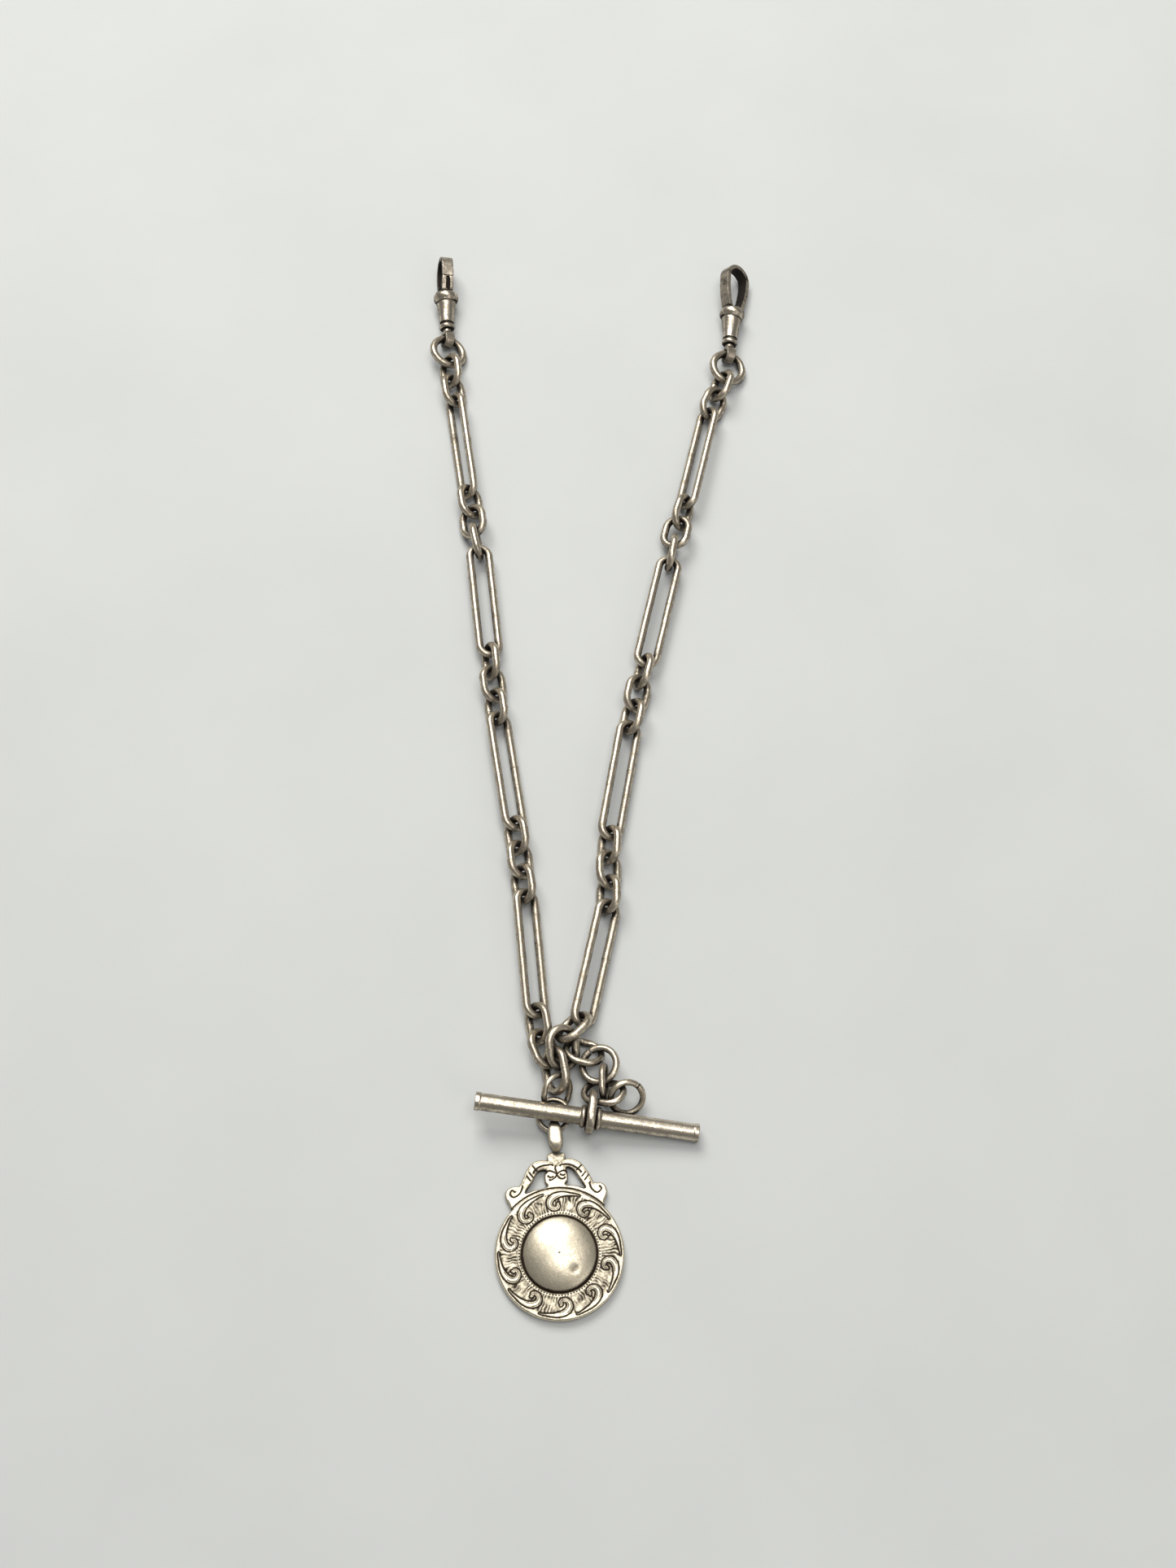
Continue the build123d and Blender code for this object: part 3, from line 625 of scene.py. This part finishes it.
def inside(points, ring):
    """Whether each point is inside a closed line."""
    x, y = points.T
    a, b = ring, np.roll(ring, -1, 0)
    odd = np.zeros(len(points), bool)
    for (ax, ay), (bx, by) in zip(a, b):
        crosses = (ay > y) != (by > y)
        if ay != by:
            odd ^= crosses & (x < (bx - ax) * (y - ay) / (by - ay) + ax)
    return odd


cad_boss = vertices_of("medal_boss")
disc_x, disc_y = (cad_boss.max(axis=0) + cad_boss.min(axis=0))[:2] / 2
disc_base = vertices_of("medal_plate")[:, 2].min()


def on_disc(x, y, z):
    """Points measured from the middle of the disc's back, put in the CAD frame."""
    right = disc_x + x * cos(TURN) - y * sin(TURN)
    up = disc_y + x * sin(TURN) + y * cos(TURN)
    return np.stack([right, up, disc_base + z], -1)


# The engraved band, measured out from the middle of the disc.
SCROLLS = 10
SCROLL_RADIUS = 9.3
# One scroll's middle line and half width: clockwise along the rim, and out from the middle.
SCROLL = [
    (3.3, 11.05, 0.15), (1.9, 11.0, 0.30), (0.5, 10.85, 0.48), (-0.7, 10.45, 0.60),
    (-1.5, 9.75, 0.62), (-1.65, 8.95, 0.58), (-1.15, 8.35, 0.50), (-0.4, 8.25, 0.42),
    (0.1, 8.65, 0.36), (0.0, 9.15, 0.30),
]  # fmt: skip
FAR = 9.0  # stands for no scroll or window nearby
BAND_START, BAND_END = 7.72, 10.95  # the hatched ground
GROUND_DEPTH = 0.055
HATCH_DEPTH = 0.05
HATCH_LINES = 96
OUTLINES_START = 7.6
OUTLINE_WIDTH, OUTLINE_DEPTH = 0.17, 0.10
VEINS_END = 10.6  # the scrolls' inner lines
VEIN_INSET, VEIN_WIDTH, VEIN_DEPTH = 0.34, 0.10, 0.06
RIM_LINE = 11.22
DOTS = 84
DOTS_RADIUS = 7.42
MOAT = 0.14  # depth of the crevice round the boss


def scroll_edge(u, v):
    """How far each place is outside a scroll's edge, the least over its short pieces."""
    line = smooth_line(SCROLL)
    edge = np.full(u.shape, FAR)
    for (ax, ay, aw), (bx, by, bw) in zip(line, line[1:]):
        way_x, way_y = bx - ax, by - ay
        t = np.clip(((u - ax) * way_x + (v - ay) * way_y) / (way_x**2 + way_y**2), 0, 1)
        gap = np.hypot(u - ax - t * way_x, v - ay - t * way_y)
        edge = np.minimum(edge, gap - aw - t * (bw - aw))
    return edge


def engraving(x, y):
    """How far the disc's face is cut down, and how dark it is: the cuts, and painted shade in the
    crevice round the boss.
    """
    radius = np.hypot(x, y)
    clockwise = pi / 2 - np.arctan2(y, x)
    sector = 2 * pi / SCROLLS
    folded = (clockwise + sector / 2) % sector - sector / 2
    edge = np.full(x.shape, FAR)
    for shift in (-sector, 0.0, sector):
        edge = np.minimum(edge, scroll_edge(SCROLL_RADIUS * (folded + shift), radius))
    ground = step(radius - BAND_START, 0.05) * step(BAND_END - radius, 0.05) * step(edge, 0.035)
    flat = np.stack([x, y, 0 * x], -1)
    uneven = waves(61, 1.9)(flat)
    patches = np.clip(0.55 + 0.6 * waves(62, 2.6)(flat), 0, 1)
    hatch = (0.5 + 0.5 * np.sin(clockwise * HATCH_LINES + 1.6 * uneven)) ** 1.5 * patches
    outline = groove(edge + 0.02, OUTLINE_WIDTH, OUTLINE_DEPTH)
    outline += groove(edge + VEIN_INSET, VEIN_WIDTH, VEIN_DEPTH) * (radius < VEINS_END)
    outline *= radius > OUTLINES_START
    cut = ground * (GROUND_DEPTH + HATCH_DEPTH * hatch + 0.012 * uneven) + outline
    cut += groove(radius - RIM_LINE, 0.07, 0.035)
    beside_dot = (clockwise * DOTS / (2 * pi)) % 1 - 0.5
    dots = np.hypot(radius - DOTS_RADIUS, DOTS_RADIUS * beside_dot * 2 * pi / DOTS)
    cut += groove(dots, 0.13, 0.10)
    cut += MOAT * bell(radius - BOSS - 0.10, 0.13)
    dark = ground * (0.30 + 0.75 * hatch + 0.14 * np.clip(uneven, -1, 1)) + 13.0 * outline
    # The dots are dark, and painted shade darkens the crevice round the boss.
    dark += groove(dots, 0.17, 1.0) + 1.2 * bell(radius - BOSS - 0.14, 0.34)
    return cut, np.clip(dark, 0, 1)


def turned(profile, count):
    """Radius and height rows of a profile turned round the disc's middle."""
    angle = np.arange(count) * 2 * pi / count
    radius = profile[:, :1] * np.ones(count)
    return radius * np.cos(angle), radius * np.sin(angle), profile[:, 1:] * np.ones(count)


FACE_START, FACE_END = 5.6, 11.5
RIM = (0.38, 1.42)  # radius of the rim's rounding, and the height of its middle
UNDER_RIM = [(11.88, 0.9), (11.88, 0.35), (11.75, 0.12), (11.5, 0.0)]
BACK = (10.5, 9.0, 7.0, 5.0, 2.5)
DISC_DENTS = (0.02, 5.0)  # height and wavelength
PLAIN_GRIME = 0.05


def disc():
    """The disc: a flat engraved ring round the boss, a rounded rim and a plain back."""
    count = 900
    rounding, rim_height = RIM
    turn = np.linspace(0.15, pi / 2, 8)
    profile = [(r, DISC_TOP) for r in np.arange(FACE_START, FACE_END, GRAIN)]
    profile += [(FACE_END + rounding * sin(a), rim_height + rounding * cos(a)) for a in turn]
    profile += UNDER_RIM + [(r, 0.0) for r in BACK]
    x, y, z = (rows.ravel() for rows in turned(np.array(profile), count))
    cut, dark = engraving(x, y)
    face = (z > DISC_TOP - 0.05) & (np.hypot(x, y) < FACE_END - 0.01)
    dents = DISC_DENTS[0] * (waves(71, DISC_DENTS[1])(on_disc(x, y, 0 * z)) - 1.4)
    points = on_disc(x, y, z - np.where(face, cut, 0) + np.where(z > 1.0, dents, 0))
    points = np.vstack([points, on_disc(0.0, 0.0, 0.0)])
    last = (len(profile) - 1) * count
    faces = [tuple(f) for f in ring_grid(len(profile), count)]
    faces += [(last + j, last + (j + 1) % count, len(points) - 1) for j in range(count)]
    return points, faces, np.r_[np.where(face, dark, PLAIN_GRIME), 0.0]


def ring_grid(rows, columns):
    """The faces of rows of points that go round, facing out for a profile that runs outwards."""
    return ring_faces(rows, columns, closed=False)[:, ::-1]


CREST_TOP = 1.62
CREST_BACK = 0.12
CREST_UNDER_DISC = 1.4  # where the disc covers it, it stays below this height
CREST_ROUNDING = 0.34
INSIDE_LINE = 0.38  # from the crest's edge to the line cut along it
ROOT_LINE = 12.05  # the line cut round the foot of the crest
CURVED_CUT = (0.15, 0.13)  # half width and depth
CROSS_CUT = (0.14, 0.13)
ARMS_START = 12.5  # the line along the edge is only on the arms and the hump above here


def crest():
    """The pierced crest: a plate with rounded edges, cut lines inside its outline and a motif."""
    outline = smooth_outline(CREST)
    xs = np.arange(-10.2, 10.0, GRAIN)
    ys = np.arange(6.5, 18.0, GRAIN)
    gx, gy = np.meshgrid(xs, ys, indexing="ij")
    flat = np.stack([gx.ravel(), gy.ravel()], 1)
    gap, foot = nearest(flat, outline)
    solid = inside(flat, outline)
    window_gap = np.full(len(flat), FAR)
    for window in WINDOWS:
        hole = smooth_outline(window)
        hole_gap, hole_foot = nearest(flat, hole)
        solid &= ~inside(flat, hole)
        window_gap = np.minimum(window_gap, hole_gap)
        nearer = hole_gap < gap
        gap = np.where(nearer, hole_gap, gap)
        foot = np.where(nearer[:, None], hole_foot, foot)
    solid = solid.reshape(gx.shape)
    cells = solid[:-1, :-1] & solid[1:, :-1] & solid[:-1, 1:] & solid[1:, 1:]
    i, j = np.nonzero(cells)
    columns = len(ys)
    corner = i * columns + j
    quads = np.stack([corner, corner + columns, corner + columns + 1, corner + 1], 1)
    edges = {edge: None for q in quads for edge in zip(q, np.roll(q, -1))}
    rim = [(a, b) for a, b in edges if (b, a) not in edges]
    used = np.unique(quads)
    index = {v: k for k, v in enumerate(used)}
    on_rim = {a for pair in rim for a in pair}
    xy = flat[used].copy()
    edge_gap = gap[used].copy()
    for v in on_rim:
        xy[index[v]] = foot[v]
        edge_gap[index[v]] = 0
    gap, window_gap = gap[used], window_gap[used]
    x, y = xy.T
    radius = np.hypot(x, y)
    cut = groove(gap - INSIDE_LINE, 0.10, 0.05) * (window_gap > 0.8) * (y > ARMS_START)
    for corners in CURVED_CUTS:
        beside, _ = nearest(xy, smooth_line(corners), closed=False)
        cut = np.maximum(cut, groove(beside, *CURVED_CUT))
    for ends in CROSS_CUTS:
        beside, _ = nearest(xy, np.array(ends), closed=False)
        cut = np.maximum(cut, groove(beside, *CROSS_CUT))
    cut += groove(radius - ROOT_LINE, 0.16, 0.15)
    inward = 1 - np.clip(edge_gap / CREST_ROUNDING, 0, 1)
    crown = CREST_ROUNDING * (1 - np.sqrt(np.clip(1 - inward**2, 0, 1)))
    top = CREST_TOP - crown - cut
    top = np.where(radius < 11.7, np.minimum(top, CREST_UNDER_DISC), top)
    upper = on_disc(x, y, top)
    lower = on_disc(x, y, CREST_BACK + 0.6 * crown)
    count = len(used)
    faces = [tuple(index[v] for v in q) for q in quads]
    faces += [tuple(index[v] + count for v in q[::-1]) for q in quads]
    faces += [(index[b], index[a], index[a] + count, index[b] + count) for a, b in rim]
    shaded = bell(window_gap - 0.1, 0.75) * np.clip((y - 14.6) / 0.6, 0, 1)
    dark = np.clip(cut * 11.0, 0, 1.0) + 0.50 * shaded + 0.4 * bell(gap, 0.16)
    return np.vstack([upper, lower]), faces, np.r_[dark, np.full(count, 0.1)]


LUG_MIDDLE = (-0.2, 17.35, 0.82)
LUG_HALF = (1.75, 1.4, 0.62)


def lug():
    """The rough lump behind the notch that carries the bail."""
    across, along = 104, 22
    round_it = np.linspace(0, 2 * pi, across, endpoint=False)
    over_it = np.linspace(-pi / 2, pi / 2, along)
    u, v = (angle.ravel() for angle in np.meshgrid(round_it, over_it, indexing="ij"))
    width = signed_power(np.cos(v), 0.35)
    x = LUG_MIDDLE[0] + LUG_HALF[0] * signed_power(np.cos(u), 0.5) * width
    y = LUG_MIDDLE[1] + LUG_HALF[1] * signed_power(np.sin(u), 0.5) * width
    z = LUG_MIDDLE[2] + LUG_HALF[2] * signed_power(np.sin(v), 0.5)
    points = on_disc(x, y, z)
    points = points + 0.05 * waves(91, 0.9)(points)[:, None] * np.array([0.3, 0.3, 1.0])
    faces = []
    for i in range(across):
        here, there = i * along, (i + 1) % across * along
        faces += [(here + j, there + j, there + j + 1, here + j + 1) for j in range(along - 1)]
    return points, faces, np.clip(0.35 - 0.5 * (z - 0.9), 0, 0.6)


def joined(*pieces):
    """Several pieces' points, faces and values of grime and painted shade as one."""
    points, faces, grime_and_shade, base = [], [], [], 0
    for p, f, g in pieces:
        points.append(p)
        faces += [tuple(int(k) + base for k in face) for face in f]
        grime_and_shade.append(np.ravel(g))
        base += len(p)
    return np.vstack(points), faces, np.concatenate(grime_and_shade)


BOSS_FOOT = 2.15
BOSS_RISE = 1.65
BOSS_SKIRT = [(BOSS, 2.1), (BOSS, 1.75)]
DENT_PLACE = (2.7, -2.9)
DENT_DEPTH = 0.22


def boss():
    """The plain domed boss, with a dent in its lower right and painted shade at its foot."""
    count = 260
    radii = np.linspace(0.15, BOSS - 0.05, 70)
    profile = [(r, BOSS_FOOT + BOSS_RISE * (1 - (r / BOSS) ** 2) ** 0.85) for r in radii]
    profile += BOSS_SKIRT
    x, y, z = (rows.ravel() for rows in turned(np.array(profile), count))
    from_dent = (x - DENT_PLACE[0]) ** 2 + (y - DENT_PLACE[1]) ** 2
    dent = DENT_DEPTH * np.exp(-from_dent / 0.55)
    points = on_disc(x, y, z - dent)
    points[:, 2] += 0.010 * (waves(81, 5.0)(points) - 1.0) + 0.003 * waves(82, 1.2)(points)
    points = np.vstack([points, points[:count].mean(axis=0)])
    faces = [tuple(f) for f in ring_grid(len(profile), count)]
    faces += [((j + 1) % count, j, len(points) - 1) for j in range(count)]
    # Painted shade at the boss's foot, and darker in the dent.
    dark = 0.95 * bell(np.hypot(x, y) - BOSS, 0.26) + 3.2 * np.clip(dent - 0.06, 0, 0.14)
    return points, faces, np.r_[dark, 0.0]


plate_points, plate_faces, plate_grime_and_shade = joined(disc(), crest(), lug())
make("medal_plate", plate_points, plate_faces, MEDAL, plate_grime_and_shade)
boss_points, boss_faces, boss_grime_and_shade = boss()
make("medal_boss", boss_points, boss_faces, MEDAL, boss_grime_and_shade)

# ---- Sheet, light and camera --------------------------------------------------------------------

SHEET = (0.735, 0.755, 0.745, 1)
SHEET_SHADE = (0.70, 0.72, 0.71, 1)
SHEET_SIZE = 4.0  # metres
SHEET_DROP = 0.0001  # metres below the chain
CAMERA_PLACE = (-0.73, -157.685, 355.0)
CAMERA_TILT = 22.5
LENS = 43.53
SENSOR = 36.0

paper = Nodes("paper")
clouds = paper.remap(paper.noise(paper.places(), 0.02, 3.0), 0.3, 0.7)
paper.join(paper.mix(clouds, SHEET, SHEET_SHADE), paper.shader.inputs["Base Color"])
paper.shader.inputs["Roughness"].default_value = 0.72
bpy.ops.mesh.primitive_plane_add(size=SHEET_SIZE, location=(0, 0, -SHEET_DROP))
sheet = bpy.context.object
sheet.name = "sheet"
sheet.data.materials.append(paper.material)


DAYLIGHT = (1.0, 0.985, 0.955)
WARM = (1.0, 0.97, 0.93)
ROOM = (0.60, 0.60, 0.60, 1)
ROOM_STRENGTH = 0.29


def lamp(name, place, size, power, colour):
    """A square soft light aimed at the middle of the chain."""
    light = bpy.data.lights.new(name, "AREA")
    light.size = size
    light.energy = power
    light.color = colour
    shape = bpy.data.objects.new(name, light)
    shape.location = place
    shape.rotation_euler = (-Vector(place)).to_track_quat("-Z", "Y").to_euler()
    bpy.context.scene.collection.objects.link(shape)
    return shape


stage = [
    sheet,
    lamp("window", (-0.20, 0.60, 0.85), 0.60, 7.3, DAYLIGHT),
    lamp("ceiling", (0.15, -0.05, 1.20), 0.60, 4.5, DAYLIGHT),
    lamp("fill", (0.60, -0.60, 0.60), 0.50, 0.8, WARM),
]

world = bpy.data.worlds.new("room")
world.use_nodes = True
room = world.node_tree.nodes["Background"]
room.inputs["Color"].default_value = ROOM
room.inputs["Strength"].default_value = ROOM_STRENGTH
bpy.context.scene.world = world

lens = bpy.data.cameras.new("camera")
lens.lens = LENS
lens.sensor_width = SENSOR
lens.clip_start = 0.01
camera = bpy.data.objects.new("camera", lens)
camera.location = [c * MM for c in CAMERA_PLACE]
camera.rotation_euler = (radians(CAMERA_TILT), 0, 0)
bpy.context.scene.collection.objects.link(camera)
bpy.context.scene.camera = camera
bpy.context.scene.view_settings.view_transform = "Standard"
